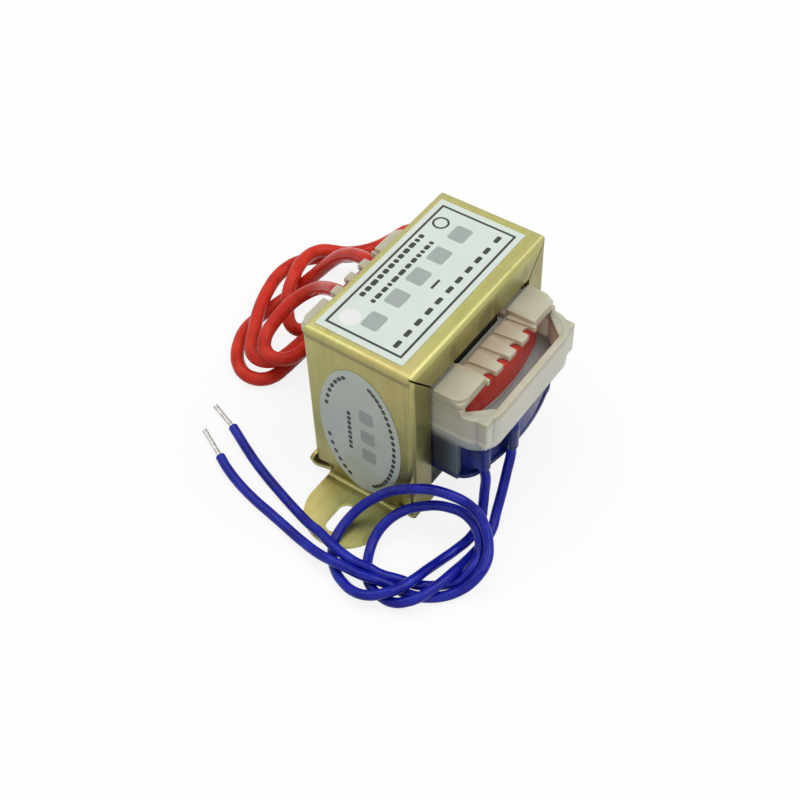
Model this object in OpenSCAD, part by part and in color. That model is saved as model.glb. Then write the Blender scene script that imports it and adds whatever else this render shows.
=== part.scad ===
// Laminated chassis transformer: an EI core held in a folded steel frame with two slotted
// feet, a two-part nylon bobbin with the primary above the secondary, and flying leads.
// Millimetres, +Z up. The origin is under the middle of the core, on the mounting surface.
// The stack of laminations runs along Y, and the open faces with the bobbin look along Y.

/* [Core] */
// Width of the middle leg of the E lamination
tongue_w = 13; // [12:0.5:14]
// Width of each winding window
window_w = 8; // [7.5:0.25:9]
// Height of the winding windows
window_h = 21; // [20.5:0.25:23]
// Width of each outer leg
leg_w = 6; // [5:0.25:7]
// Height of the yoke, which is the width of the I lamination
yoke_h = 6.5; // [5.5:0.25:7.5]
// Pitch of the laminations, sheet and varnish together
lamination_pitch = 0.5; // [0.45:0.01:0.55]
// Varnish between two laminations, and the gap where E meets I
varnish_t = 0.03; // [0.02:0.01:0.05]
// Number of laminations in the stack
lamination_count = 42; // [40:1:46]
// Height of the underside of the core above the mounting surface
core_z = 3.3; // [3.2:0.1:5]

/* [Frame] */
// Thickness of the frame's sheet steel
frame_t = 0.8; // [0.6:0.05:1]
// Outer radius of the frame's bends
frame_bend_r = 1.2; // [1.1:0.05:1.4]
// Clearance between the stack and the flanges that hold it
stack_clearance = 0.05; // [0.03:0.01:0.12]
// Depth of the flanges along the top, measured down from the top face
top_flange_h = 6.4; // [5:0.1:6.6]
// Width of the flanges along the sides
side_flange_w = 5.5; // [4.5:0.1:6]
// Open mitre where a top flange meets a side flange
mitre_gap = 0.35; // [0.2:0.05:0.6]
// Width of the feet along the stack
foot_w = 16; // [13:0.5:17]
// Reach of each foot from the middle of the core to its rounded end
foot_reach = 34.7; // [33.7:0.1:38]
// Inner radius of the bend between a side plate and its foot
foot_bend_r = 0.7; // [0.4:0.1:1]
// Width of the mounting slots
slot_w = 3.6; // [3:0.1:4.2]
// Length of the mounting slots, end to end
slot_l = 7; // [5:0.25:8]
// Distance of a slot's middle from the middle of its foot's flat, towards the end
slot_outset = 0.25; // [-0.2:0.05:0.6]
// Outer radius of the claws that are rolled under the core
claw_r = 1.6; // [1.4:0.05:1.7]
// Height of the underside of a claw's roll above the mounting surface
claw_lift = 1.4; // [1.2:0.1:1.7]
// Distance by which a claw flares out past its flange
claw_flare = 0.85; // [0.5:0.05:1]
// Height of that flare
claw_flare_h = 1.9; // [1.2:0.1:2.4]
// Length of a claw under the core, from its roll to its tip
claw_l = 3.4; // [2:0.1:3.6]
// Width that a claw keeps clear of the inner edge of its flange
claw_inset = 0.3; // [0:0.1:1]
// Amount by which a claw bulges past the side plate
claw_bulge = 0.5; // [0:0.1:0.8]
// Gap between the tip of a claw and the underside of the core
claw_tip_gap = 0.05; // [0.02:0.01:0.2]

/* [Bobbin] */
// Clearance of the bobbin round the middle leg, and inside the windows
bobbin_clearance = 0.15; // [0.1:0.05:0.2]
// Wall of the two bobbin tubes
tube_wall = 0.7; // [0.5:0.05:0.8]
// Clearance between the inner and the outer bobbin
nest_gap = 0.1; // [0.05:0.01:0.15]
// Thickness of the bottom flange
bottom_flange_t = 0.9; // [0.6:0.1:1.2]
// Height of the secondary's winding space
secondary_h = 8.7; // [8:0.1:9.2]
// Thickness of the shroud's floor
shroud_floor_t = 1.3; // [1:0.1:1.5]
// Gap between the rim of the shroud and the comb flange above it
rim_clearance = 1.3; // [0.8:0.1:2.5]
// Thickness of the shroud's walls
shroud_wall_t = 1.2; // [1:0.1:1.3]
// Reach of the shroud in front of the core's face
shroud_reach = 11.9; // [11.4:0.1:13]
// Corner radius of the shroud's front
shroud_corner_r = 5; // [4:0.25:6]
// Half width of the bobbin outside the windows
lobe_half_w = 15.3; // [15.1:0.1:15.5]
// Length of the high part of the shroud's side walls, outside the core
ear_l = 6.8; // [4:0.1:6.9]
// Length of the side cheeks outside the core
cheek_l = 6.1; // [4:0.1:6.5]
// Reach of the back flanges behind the core's face
back_reach = 8.1; // [7.6:0.1:9]
// Thickness of the primary bobbin's lower flange
primary_floor_t = 0.8; // [0.6:0.1:1]
// Clearance between the comb flange and the top of the window
comb_clearance = 1; // [0.3:0.1:1.4]
// Thickness of the comb flange
comb_t = 1.2; // [1:0.05:1.3]
// Reach of the comb past the core's face
comb_reach = 7.3; // [6.9:0.1:7.8]
// Pitch of the comb's wire gaps
comb_pitch = 4.2; // [3.8:0.05:4.4]
// Width of a wire gap
comb_gap_w = 2.1; // [1.6:0.1:2.4]
// Depth of a wire gap from the comb's edge
comb_gap_l = 1.9; // [1.4:0.1:2.4]
// Depth of the tapered grooves behind the gaps
comb_groove_depth = 0.5; // [0.3:0.05:0.7]
// Height of the end blocks above the comb
block_rise = 0.8; // [0.4:0.05:0.85]
// Corner radius of the end blocks
block_corner_r = 2.5; // [1.5:0.25:3.5]
// Corner radius of the comb flange
comb_corner_r = 1.2; // [0.8:0.1:3]

/* [Windings] */
// Reach of the primary's tape past the core's face
primary_reach = 7.1; // [6:0.1:7.2]
// Crown of the primary's front, from its middle to its corners
primary_crown = 1.2; // [0.6:0.1:1.6]
// Reach of the secondary's tape in front of the core's face
secondary_reach = 10.2; // [9.8:0.1:10.4]
// Crown of the secondary's front
secondary_crown = 1.4; // [0.2:0.1:1.8]
// Thickness of the tape over each winding
tape_t = 0.3; // [0.2:0.05:0.4]
// Clearance between a winding and the plastic round it
winding_clearance = 0.1; // [0.05:0.01:0.2]
// Diameter of the sleeves over the lead joints
sleeve_d = 1.8; // [1.6:0.1:2]
// Length of those sleeves on the secondary
sleeve_l = 4.4; // [3.5:0.1:4.8]
// Length of the sleeves inside the primary
red_sleeve_l = 2.6; // [2:0.1:2.8]

/* [Label and sticker] */
// Thickness of the paper
paper_t = 0.12; // [0.08:0.01:0.2]
// Length of the label on the top
label_l = 38.2; // [36:0.1:39.5]
// Width of the label on the top
label_w = 18; // [16:0.1:19]
// Place of the label's middle along the top, from the middle of the frame
label_x = -0.25; // [-0.4:0.05:0.4]
// Place of the label's middle across the top
label_y = 0.7; // [-0.9:0.1:0.9]
// Width of the oval sticker on the side
sticker_w = 17.5; // [15:0.1:19]
// Height of the oval sticker on the side
sticker_h = 31.6; // [28:0.1:32.4]

/* [Leads] */
// Distance of the first blue lead's exit from the middle, to the left
blue_a_x = 11.8; // [10.5:0.1:12]
// Distance of the second blue lead's exit from the middle, to the left
blue_b_x = 4.8; // [3:0.1:7]
// Height of those exits above the bottom flange
blue_exit_rise = 1.6; // [1:0.1:2.5]
// Distance of the first red lead's exit from the middle, to the right
red_a_x = 9; // [6:0.1:9.2]
// Distance of the second red lead's exit from the middle, to the left
red_b_x = 0.6; // [0:0.1:3]
// Diameter of the thin secondary leads
thin_lead_d = 1.6; // [1.4:0.1:1.7]
// Diameter of the twisted, tinned strands at their ends
tinned_d = 1.1; // [0.9:0.1:1.2]
// Diameter of the thick primary leads
thick_lead_d = 2.8; // [2.4:0.1:3]
// Thickness of the tie round the hank
tie_t = 0.4; // [0.3:0.05:0.5]

/* [Hidden] */
$fn = 48;

// Core, from the lamination's own sizes
core_w = tongue_w + 2 * window_w + 2 * leg_w;
core_h = window_h + 2 * yoke_h;
core_top = core_z + core_h;
stack_y = lamination_count * lamination_pitch / 2;
window_z = core_z + yoke_h;
window_top = window_z + window_h;
window_x = tongue_w / 2 + window_w;

// Frame, wrapped round the core
frame_x = core_w / 2 + frame_t;
cavity_y = stack_y + stack_clearance;
frame_y = cavity_y + frame_t;
frame_top = core_top + frame_t;
opening_x = frame_x - side_flange_w;
opening_top = frame_top - top_flange_h;
foot_bend_x = frame_x + foot_bend_r;
slot_x = (foot_bend_x + foot_reach) / 2 + slot_outset;
claw_roll_z = claw_r + claw_lift;
claw_roll_y = frame_y + claw_flare - claw_r;
claw_flare_z = claw_roll_z + claw_flare_h;
claw_tip_z = core_z - claw_tip_gap;

// Bobbin heights, stacked up from the bottom of the window
bobbin_z = window_z + 0.1;
secondary_z = bobbin_z + bottom_flange_t;
shroud_z = secondary_z + secondary_h;
shroud_floor_z = shroud_z + shroud_floor_t;
primary_floor_z = shroud_floor_z + nest_gap;
primary_z = primary_floor_z + primary_floor_t;
comb_top = window_top - comb_clearance;
comb_z = comb_top - comb_t;
primary_h = comb_z - primary_z;
shroud_wall_h = comb_z - rim_clearance - shroud_floor_z;

// Bobbin widths: the outer tube slides over the inner one
inner_bore_x = tongue_w / 2 + bobbin_clearance;
inner_bore_y = stack_y + bobbin_clearance;
inner_tube_x = inner_bore_x + tube_wall;
inner_tube_y = inner_bore_y + tube_wall;
outer_bore_x = inner_tube_x + nest_gap;
outer_bore_y = inner_tube_y + nest_gap;
outer_tube_x = outer_bore_x + tube_wall;
outer_tube_y = outer_bore_y + tube_wall;
window_half_w = window_x - bobbin_clearance;
neck_y = stack_y + 0.25;
nest_half_w = window_half_w - shroud_wall_t - nest_gap;
comb_inset = 0.05;
comb_step = 0.5;
comb_x = [-1.5:1:1.5];
block_inner_x = 2 * comb_pitch - comb_gap_w / 4;
block_reach = comb_reach - comb_step;

// Windings
primary_corner_r = 3;
secondary_corner_r = 4.2;
secondary_back = back_reach - 0.4;
cover_gap = 0.05;
red_joint_y = stack_y + primary_reach - primary_crown - 1;
red_sleeve_d = thick_lead_d + 0.6;
primary_half_w = nest_half_w - winding_clearance;
secondary_half_w = window_half_w - 0.35;

// Where the leads leave the tape: a place along the winding's face, and a height
blue_exit_a = blue_exit(-blue_a_x, 3 * cover_gap);
blue_exit_b = blue_exit(-blue_b_x, cover_gap);
red_exit_z = primary_z + primary_h / 2 - thick_lead_d / 6;
red_exit_a = [red_a_x, red_joint_y, red_exit_z];
red_exit_b = [-red_b_x, red_joint_y, red_exit_z];
exit_l = 2.6;

// Routes of the leads, each point the middle of the wire
blue_route_a = [
    blue_exit_a, blue_exit_a - [0, 0, 0.6], [-12, -20.5, 10.4], [-12.5, -21, 7.6],
    [-13.1, -21.4, 5], [-13.9, -21.8, 2.1],
    [-16.8, -22.5, 0.8], [-20.5, -22.8, 0.8], [-24, -21.9, 0.8], [-27.4, -21, 1.3],
    [-31.2, -20.4, 2.2], [-34.4, -19.6, 2.6], [-37.6, -17.9, 2.7], [-40.2, -15.3, 2.6],
    [-40.6, -11.6, 1.3], [-39.4, -8.1, 0.8], [-36.9, -4.8, 0.9], [-34.4, -3, 1.7],
    [-30.4, -1.9, 2.7], [-26.3, -2.6, 4], [-23.6, -5.4, 6.2], [-22.8, -9.2, 8.6],
    [-21.6, -12.8, 9.5], [-18.6, -15.2, 7.8], [-16.1, -17.9, 5.2], [-15.5, -21, 3.6],
    [-16.4, -24.4, 3], [-19.2, -27, 2.7], [-23.2, -28.2, 1.5], [-27.4, -28.2, 0.8],
    [-31.6, -26.4, 0.8], [-34.8, -22.4, 0.8], [-36.2, -17.6, 1.1], [-37.3, -12.6, 2.8],
    [-38.2, -7.2, 3], [-38.1, -1.6, 2.6], [-37.1, 4.2, 0.9], [-35.8, 11, 0.8],
    [-33.6, 19.4, 0.8], [-30.5, 26.8, 0.8]
];
blue_route_b = [
    blue_exit_b, blue_exit_b - [0, 0, 0.8], [-6.2, -22.9, 8.6], [-9, -23.6, 5], [-12, -24.2, 2.1],
    [-15.5, -24.7, 0.8], [-19.1, -25, 0.8], [-22.6, -24.8, 0.8], [-26.2, -24.2, 1.1],
    [-30.2, -23.6, 2.4], [-34, -22.8, 2.6], [-37.4, -20.8, 2.2], [-39, -17.6, 0.9],
    [-38.3, -14, 0.8], [-35.6, -11.2, 0.8], [-32.4, -9.8, 0.9], [-29.4, -9.3, 2],
    [-26.2, -9.1, 2.9], [-23.8, -10.6, 3.9], [-21.7, -13.4, 4.8], [-18.8, -15.2, 4.5],
    [-17.4, -18.2, 3.6], [-17.8, -21.5, 2.9], [-19.5, -24.3, 2.9], [-21.9, -26, 2.4],
    [-25, -26.6, 0.9], [-28.6, -25.6, 0.8], [-31.6, -23.2, 0.8], [-33.6, -19.6, 0.8],
    [-34.8, -15.4, 1.5], [-35.6, -10.6, 2.7], [-36, -5.6, 3.5], [-35.2, -0.4, 3.3],
    [-33.7, 5, 2.2], [-32.2, 11, 0.8], [-30, 17, 0.8], [-27.2, 23.2, 0.8],
    [-23.8, 29.8, 0.8]
];
red_route_a = [
    red_exit_a, red_exit_a + [0, exit_l, 0], [13.4, 23.6, 22.4], [15.6, 28.4, 17.2],
    [18, 33, 12.4], [20.6, 38, 9.2], [24.8, 45.4, 7.6]
];
red_route_b = [
    red_exit_b, red_exit_b + [0, exit_l, 0], [0.4, 24.2, 22.6], [1.8, 30, 17],
    [2, 34.2, 12.6], [0.4, 37.2, 9.2], [-2.8, 38, 7.6]
];
tinned_l = 9.6;

// The hank of the primary leads: two round folds joined by straight runs
hank_left = [-6, 37.6];
hank_right = [19.5, 40.2];
hank_left_r = 7.4;
hank_right_r = 10;
hank_h = 5.6;
hank_lift = tie_t;
hank_band = 3.6;
tie_x = 14;
tie_w = 1.6;

function unit(v) = v / norm(v);

// Points of a lobe outside the core: straight sides, round corners and a crowned front.
// It starts on the line y = -base and reaches towards -Y, anticlockwise seen from above
function lobe(half_w, base, reach, corner_r, crown = 0) = let (
    corner_x = half_w - corner_r,
    corner_y = reach - crown - corner_r
) concat(
    [[-half_w, -base]],
    [for (a = [180:-10:90]) [-corner_x + corner_r * cos(a), -corner_y - corner_r * sin(a)]],
    [for (s = [-0.8:0.2:0.8]) [corner_x * s, -(reach - crown * s * s)]],
    [for (a = [90:-10:0]) [corner_x + corner_r * cos(a), -corner_y - corner_r * sin(a)]],
    [[half_w, -base]]
);

// How far a lobe of the core's face reaches at a place x along it
function lobe_y(x, half_w, reach, corner_r, crown) = let (
    corner_x = half_w - corner_r,
    past = max(0, abs(x) - corner_x),
    s = min(1, abs(x) / corner_x)
) stack_y + reach - crown * s * s - corner_r + sqrt(corner_r * corner_r - past * past);

// A place where a blue lead leaves its sleeve, a gap in front of the tape
function blue_exit(x, gap) = [
    x,
    -lobe_y(x, secondary_half_w, secondary_reach, secondary_corner_r, secondary_crown)
        - sleeve_d / 2 - gap,
    secondary_z + blue_exit_rise
];

// The same lobe at the other end of the core
function behind(points) = [for (i = [len(points) - 1:-1:0]) [points[i][0], -points[i][1]]];

// A flange or winding seen from above: its part in the windows, and a lobe at each end
module ring_outline(window_half, half_w, front, back, corner_r, crown = 0) {
    square([2 * window_half, 2 * (neck_y + 1)], center = true);
    polygon(lobe(half_w, neck_y, stack_y + front, corner_r, crown));
    polygon(behind(lobe(half_w, neck_y, stack_y + back, corner_r, crown)));
}

module centred_square(half_x, half_y) {
    square([2 * half_x, 2 * half_y], center = true);
}

// A slab of a profile in the XZ plane, with its middle on y
module slab_xz(thickness, y = 0) {
    translate([0, y + thickness / 2, 0]) rotate([90, 0, 0]) linear_extrude(thickness) children();
}

// A slab of a profile in the YZ plane, from x to x + length
module slab_yz(x, length) {
    translate([x, 0, 0]) rotate([90, 0, 90]) linear_extrude(length) children();
}

module rounded_square(half_x, half_y, r) {
    for (y = [r - half_y, half_y - r], x = [r - half_x, half_x - r])
        translate([x, y]) circle(r);
    centred_square(half_x - r, half_y);
    centred_square(half_x, half_y - r);
}

// ---- Frame: one folded sheet ----

// The block that the frame is folded round, with the round outside of its bends
module frame_block() {
    height = frame_top - core_z;
    middle_z = frame_top - height;
    intersection() {
        translate([0, 0, core_z]) linear_extrude(height)
            rounded_square(frame_x, frame_y, frame_bend_r);
        slab_xz(2 * frame_y)
            translate([0, middle_z]) rounded_square(frame_x, height, frame_bend_r);
        slab_yz(-frame_x, 2 * frame_x)
            translate([0, middle_z]) rounded_square(frame_y, height, frame_bend_r);
    }
}

// A thin slot along the mitre, from the corner of the opening out through the frame's corner
module mitre_slot(side, end) {
    run = [frame_x - opening_x, frame_top - opening_top];
    angle = atan2(run[1], run[0]);
    mirror([side < 0 ? 1 : 0, 0, 0])
        translate([opening_x, end * (cavity_y + frame_t), opening_top])
            rotate([0, -angle, 0])
                translate([-0.4, -frame_t, -mitre_gap / 2])
                    cube([norm(run) + 2, 2 * frame_t, mitre_gap]);
}

// Side view of a foot: down the side plate, round the bend and out along the surface
module foot_profile() {
    difference() {
        translate([foot_bend_x, foot_bend_r + frame_t]) circle(foot_bend_r + frame_t);
        translate([foot_bend_x, foot_bend_r + frame_t]) circle(foot_bend_r);
        translate([foot_bend_x, 0]) square(4 * frame_x);
        translate([0, foot_bend_r + frame_t]) square(4 * frame_x);
    }
    translate([frame_x - frame_t, foot_bend_r + frame_t])
        square([frame_t, core_z + frame_bend_r - foot_bend_r]);
    translate([foot_bend_x, 0]) square([foot_reach - foot_bend_x, frame_t]);
}

module foot() {
    end_r = foot_w / 2;
    difference() {
        intersection() {
            slab_xz(foot_w) foot_profile();
            linear_extrude(frame_top) {
                translate([foot_reach - end_r, 0]) circle(end_r);
                translate([0, -end_r]) square([foot_reach - end_r, foot_w]);
            }
        }
        translate([slot_x, 0, -1]) mounting_slot();
    }
}

module mounting_slot() {
    half_run = (slot_l - slot_w) / 2;
    for (x = [-half_run, half_run])
        translate([x, 0, 0]) cylinder(d = slot_w, h = frame_t + 2);
    translate([-half_run, -slot_w / 2, 0]) cube([2 * half_run, slot_w, frame_t + 2]);
}

// Side view of a claw: it flares out below the flange and rolls under the core
module claw_profile() {
    difference() {
        translate([claw_roll_y, claw_roll_z]) circle(claw_r);
        translate([claw_roll_y, claw_roll_z]) circle(claw_r - frame_t);
        translate([claw_roll_y - 2 * claw_r, claw_roll_z]) square([4 * claw_r, 2 * claw_r]);
        translate([claw_roll_y - 2 * claw_r, 0]) square([2 * claw_r, 4 * claw_r]);
    }
    claw_flare_profile(0);
    roll_bottom = claw_roll_z - claw_r;
    tip_y = claw_roll_y - claw_l;
    polygon([
        [claw_roll_y, roll_bottom], [claw_roll_y, roll_bottom + frame_t],
        [tip_y, claw_tip_z], [tip_y, claw_tip_z - frame_t]
    ]);
}

// The flared part of a claw; root is how far it runs up into the flange it grows from
module claw_flare_profile(root) {
    outer_y = claw_roll_y + claw_r;
    polygon([
        [outer_y, claw_roll_z - frame_t / 4], [outer_y, claw_roll_z], [frame_y, claw_flare_z],
        [frame_y, claw_flare_z + root], [cavity_y, claw_flare_z + root],
        [cavity_y, claw_flare_z], [outer_y - frame_t, claw_roll_z],
        [outer_y - frame_t, claw_roll_z - frame_t / 4]
    ]);
}

module claw() {
    x = opening_x + claw_inset;
    slab_yz(x, frame_x + claw_bulge - x) claw_profile();
    slab_yz(x, frame_x - frame_bend_r - x) claw_flare_profile(frame_t / 2);
}

module mounting_bracket() {
    color("darkkhaki") {
        difference() {
            frame_block();
            translate([-core_w / 2, -cavity_y, 0]) cube([core_w, 2 * cavity_y, core_top]);
            translate([-opening_x, -2 * frame_y, 0]) cube([2 * opening_x, 4 * frame_y, opening_top]);
            for (side = [-1, 1], end = [-1, 1]) mitre_slot(side, end);
            // The claws leave the flanges above this line
            for (end = [-1, 1])
                translate([-frame_x - 1, end > 0 ? cavity_y : -cavity_y - 4 * frame_t, 0])
                    cube([2 * frame_x + 2, 4 * frame_t, claw_flare_z]);
        }
        for (side = [0, 1]) mirror([side, 0, 0]) {
            foot();
            for (end = [0, 1]) mirror([0, end, 0]) claw();
        }
    }
}

// ---- Core: sheets laid alternately, so that each joint is bridged by its neighbours ----

module e_sheet() {
    difference() {
        translate([-core_w / 2, 0]) square([core_w, yoke_h + window_h - varnish_t]);
        for (x = [-window_x, tongue_w / 2])
            translate([x, yoke_h]) square([window_w, window_h]);
    }
}

module i_sheet() {
    translate([-core_w / 2, 0]) square([core_w, yoke_h]);
}

module each_sheet() {
    for (i = [0:lamination_count - 1]) {
        y = (i + 0.5) * lamination_pitch - stack_y;
        flipped = i % 2;
        translate([0, 0, core_z + (flipped ? core_h : 0)]) mirror([0, 0, flipped])
            slab_xz(lamination_pitch - varnish_t, y) children();
    }
}

module e_laminations() {
    color("dimgray") each_sheet() e_sheet();
}

module i_laminations() {
    color("gray") each_sheet() translate([0, core_h - yoke_h]) i_sheet();
}

// ---- Bobbin ----

// Inner bobbin: tube, bottom flange, floor between the windings, and the shroud in front
module shroud_spool() {
    color("ivory") difference() {
        union() {
            translate([0, 0, bobbin_z]) linear_extrude(comb_z - bobbin_z)
                centred_square(inner_tube_x, inner_tube_y);
            translate([0, 0, bobbin_z]) linear_extrude(bottom_flange_t)
                ring_outline(window_half_w, lobe_half_w, secondary_reach + 0.1, back_reach,
                    shroud_corner_r - 0.5, secondary_crown);
            translate([0, 0, shroud_z]) linear_extrude(shroud_floor_t)
                ring_outline(window_half_w, lobe_half_w, shroud_reach, back_reach, shroud_corner_r);
            translate([0, 0, shroud_z]) shroud_wall();
            for (side = [0, 1]) mirror([side, 0, 0]) shroud_ear();
            for (side = [0, 1]) mirror([side, 0, 0]) cheek();
        }
        translate([0, 0, bobbin_z - 1]) linear_extrude(core_h)
            centred_square(inner_bore_x, inner_bore_y);
    }
}

module shroud_outline(inset) {
    half_w = lobe_half_w - inset;
    polygon(lobe(half_w, neck_y, stack_y + shroud_reach - inset, shroud_corner_r - inset));
    translate([inset - window_half_w, -neck_y - 1])
        square([2 * (window_half_w - inset), 2 * neck_y + 1]);
}

module shroud_wall() {
    linear_extrude(shroud_floor_t + shroud_wall_h) difference() {
        shroud_outline(0);
        shroud_outline(shroud_wall_t);
        translate([shroud_wall_t - window_half_w, -neck_y])
            square([2 * (window_half_w - shroud_wall_t), 3 * neck_y]);
    }
}

// The shroud's side wall is higher next to the core, up to the comb that lies over it
module shroud_ear() {
    translate([lobe_half_w - shroud_wall_t, -stack_y - ear_l, shroud_floor_z])
        cube([shroud_wall_t, stack_y + ear_l - neck_y, comb_z - nest_gap - shroud_floor_z]);
}

// A wall beside the secondary, outside the core
module cheek() {
    translate([lobe_half_w - shroud_wall_t, -stack_y - cheek_l, bobbin_z])
        cube([shroud_wall_t, stack_y + cheek_l - neck_y, shroud_z - bobbin_z]);
}

// Outer bobbin: it drops over the inner one's tube, and its top flange is a comb
module primary_spool() {
    color("white") difference() {
        union() {
            translate([0, 0, primary_floor_z]) linear_extrude(comb_z + 0.4 - primary_floor_z)
                centred_square(outer_tube_x, outer_tube_y);
            translate([0, 0, primary_floor_z]) linear_extrude(primary_floor_t)
                primary_outline();
            translate([0, 0, comb_z]) linear_extrude(comb_t) comb_outline();
            for (end = [0, 1], side = [0, 1])
                mirror([0, end, 0]) mirror([side, 0, 0]) end_block();
        }
        translate([0, 0, primary_floor_z - 1]) linear_extrude(core_h)
            centred_square(outer_bore_x, outer_bore_y);
        for (end = [0, 1]) mirror([0, end, 0]) for (i = comb_x) comb_groove(i * comb_pitch);
    }
}

// The lower flange follows the tape that lies on it
module primary_outline() {
    ring_outline(primary_half_w, primary_half_w, primary_reach, primary_reach,
        primary_corner_r, primary_crown);
}

function comb_lobe(base, corner_r) =
    lobe(lobe_half_w - comb_inset, base, stack_y + block_reach, corner_r);

module comb_outline() {
    difference() {
        union() {
            centred_square(window_half_w, neck_y + 1);
            polygon(comb_lobe(neck_y, comb_corner_r));
            polygon(behind(comb_lobe(neck_y, comb_corner_r)));
            centred_square(block_inner_x, stack_y + comb_reach);
        }
        centred_square(outer_bore_x, outer_bore_y);
        // The comb stands off the tube's front, so a dark channel shows beside the core
        for (end = [0, 1]) mirror([0, end])
            translate([-block_inner_x, -outer_tube_y + 0.02])
                square([2 * block_inner_x, outer_tube_y - outer_bore_y]);
        for (end = [0, 1], i = comb_x)
            mirror([0, end]) translate([i * comb_pitch, -stack_y - comb_reach]) comb_gap();
    }
}

// A wire gap in the comb: parallel sides and a round root
module comb_gap() {
    translate([-comb_gap_w / 2, -1]) square([comb_gap_w, comb_gap_l - comb_gap_w / 2 + 1]);
    translate([0, comb_gap_l - comb_gap_w / 2]) circle(comb_gap_w / 2);
}

// A shallow groove that runs back from a gap and narrows towards the tube
module comb_groove(x) {
    root_y = -stack_y - comb_reach + comb_gap_l - comb_gap_w / 2;
    translate([x, 0, comb_top - comb_groove_depth]) linear_extrude(2)
        polygon([
            [-comb_gap_w / 2, root_y], [-comb_gap_w / 4, -outer_tube_y],
            [comb_gap_w / 4, -outer_tube_y], [comb_gap_w / 2, root_y]
        ]);
}

// A raised block at each end of the comb
module end_block() {
    translate([0, 0, comb_z]) linear_extrude(comb_t + block_rise) intersection() {
        polygon(comb_lobe(frame_y + 0.1, block_corner_r));
        translate([block_inner_x, -4 * stack_y]) square([lobe_half_w, 4 * stack_y]);
    }
}

// ---- Windings ----

// A winding with its inside on the bobbin's tube; inset takes the tape's thickness off it
module winding_ring(z, height, half_w, front, back, corner_r, crown, bore_x, bore_y, inset = 0) {
    translate([0, 0, z]) linear_extrude(height) difference() {
        ring_outline(half_w - inset, half_w - inset, front - inset, back - inset,
            corner_r - inset, crown);
        centred_square(bore_x + winding_clearance, bore_y + winding_clearance);
    }
}

module primary_part(inset) {
    winding_ring(primary_z + winding_clearance, primary_h - 2 * winding_clearance,
        primary_half_w, primary_reach, primary_reach, primary_corner_r, primary_crown,
        outer_tube_x, outer_tube_y, inset);
}

module secondary_part(inset) {
    winding_ring(secondary_z + winding_clearance, secondary_h - 2 * winding_clearance,
        secondary_half_w, secondary_reach, secondary_back, secondary_corner_r,
        secondary_crown, inner_tube_x, inner_tube_y, inset);
}

// The copper with its interlayers, and the joints' sleeves let into the back of it
module primary_winding() {
    color("peru") difference() {
        primary_part(tape_t + varnish_t);
        red_sleeves(red_sleeve_d + 2 * winding_clearance, winding_clearance);
    }
}

module primary_tape() {
    color("firebrick") difference() {
        primary_part(0);
        translate([0, 0, primary_z - 1]) linear_extrude(primary_h + 2)
            ring_outline(primary_half_w - tape_t, primary_half_w - tape_t,
                primary_reach - tape_t, primary_reach - tape_t,
                primary_corner_r - tape_t, primary_crown);
        for (exit = [red_exit_a, red_exit_b])
            translate(exit) rotate([-90, 0, 0]) cylinder(d = thick_lead_d + 0.1, h = primary_reach);
    }
}

module secondary_winding() {
    color("peru") secondary_part(tape_t + varnish_t);
}

module secondary_tape() {
    color("navy") difference() {
        secondary_part(0);
        translate([0, 0, secondary_z - 1]) linear_extrude(secondary_h + 2)
            ring_outline(secondary_half_w - tape_t, secondary_half_w - tape_t,
                secondary_reach - tape_t, secondary_back - tape_t,
                secondary_corner_r - tape_t, secondary_crown);
    }
}

// Sleeves over the joints between the primary's wire and its leads, inside the winding
module red_sleeves(d, spare = 0) {
    for (exit = [red_exit_a, red_exit_b])
        translate(exit - [0, red_sleeve_l + spare, 0]) rotate([-90, 0, 0])
            cylinder(d = d, h = red_sleeve_l + (spare > 0 ? primary_reach : 0));
}

module primary_joint_sleeves() {
    color("ivory") red_sleeves(red_sleeve_d);
}

// The secondary's joints lie on the winding's face, each in its sleeve
module secondary_joint_sleeves() {
    color("ivory") for (exit = [blue_exit_a, blue_exit_b])
        translate(exit) cylinder(d = sleeve_d, h = sleeve_l);
}

// A strip of tape over each of those sleeves, closed above and open where the lead leaves
module joint_cover(exit) {
    inner_d = sleeve_d + 2 * cover_gap;
    outer_d = inner_d + 2 * tape_t;
    h = sleeve_l + tape_t + 2 * cover_gap;
    difference() {
        translate(exit) {
            cylinder(d = outer_d, h = h);
            translate([0, 0, h]) sphere(d = outer_d);
            translate([-outer_d / 2, 0, 0]) cube([outer_d, outer_d, h]);
        }
        translate(exit - [0, 0, 1]) cylinder(d = inner_d, h = sleeve_l + 2 * cover_gap + 1);
        secondary_clearance();
    }
}

// The space taken by the secondary and its tape, with a hair's breadth to spare
module secondary_clearance() {
    translate([0, 0, secondary_z - 1]) linear_extrude(core_h)
        polygon(lobe(secondary_half_w + 0.02, 0, stack_y + secondary_reach + 0.02,
            secondary_corner_r, secondary_crown));
}

module secondary_joint_cover() {
    color("navy") {
        joint_cover(blue_exit_a);
        joint_cover(blue_exit_b);
    }
}

// ---- Label and sticker ----

module rating_label() {
    color("honeydew") translate([label_x - label_l / 2, label_y - label_w / 2, frame_top])
        cube([label_l, label_w, paper_t]);
}

module side_sticker() {
    bottom = foot_bend_r + frame_t + 0.1;
    color("lightgray") slab_yz(-frame_x - paper_t, paper_t)
        translate([0, bottom + sticker_h / 2]) scale([sticker_w / sticker_h, 1])
            circle(sticker_h / 2, $fn = 96);
}

// ---- Leads ----

function tangent(p, i) = i == 0 ? unit(p[1] - p[0])
    : i == len(p) - 1 ? unit(p[i] - p[i - 1])
    : unit(unit(p[i + 1] - p[i]) + unit(p[i] - p[i - 1]));

// A normal carried along the route, so that the tube never twists
function normals(p, n, i = 0) = i == len(p) ? [] : let (
    t = tangent(p, i),
    carried = unit(n - (n * t) * t)
) concat([carried], normals(p, carried, i + 1));

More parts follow.
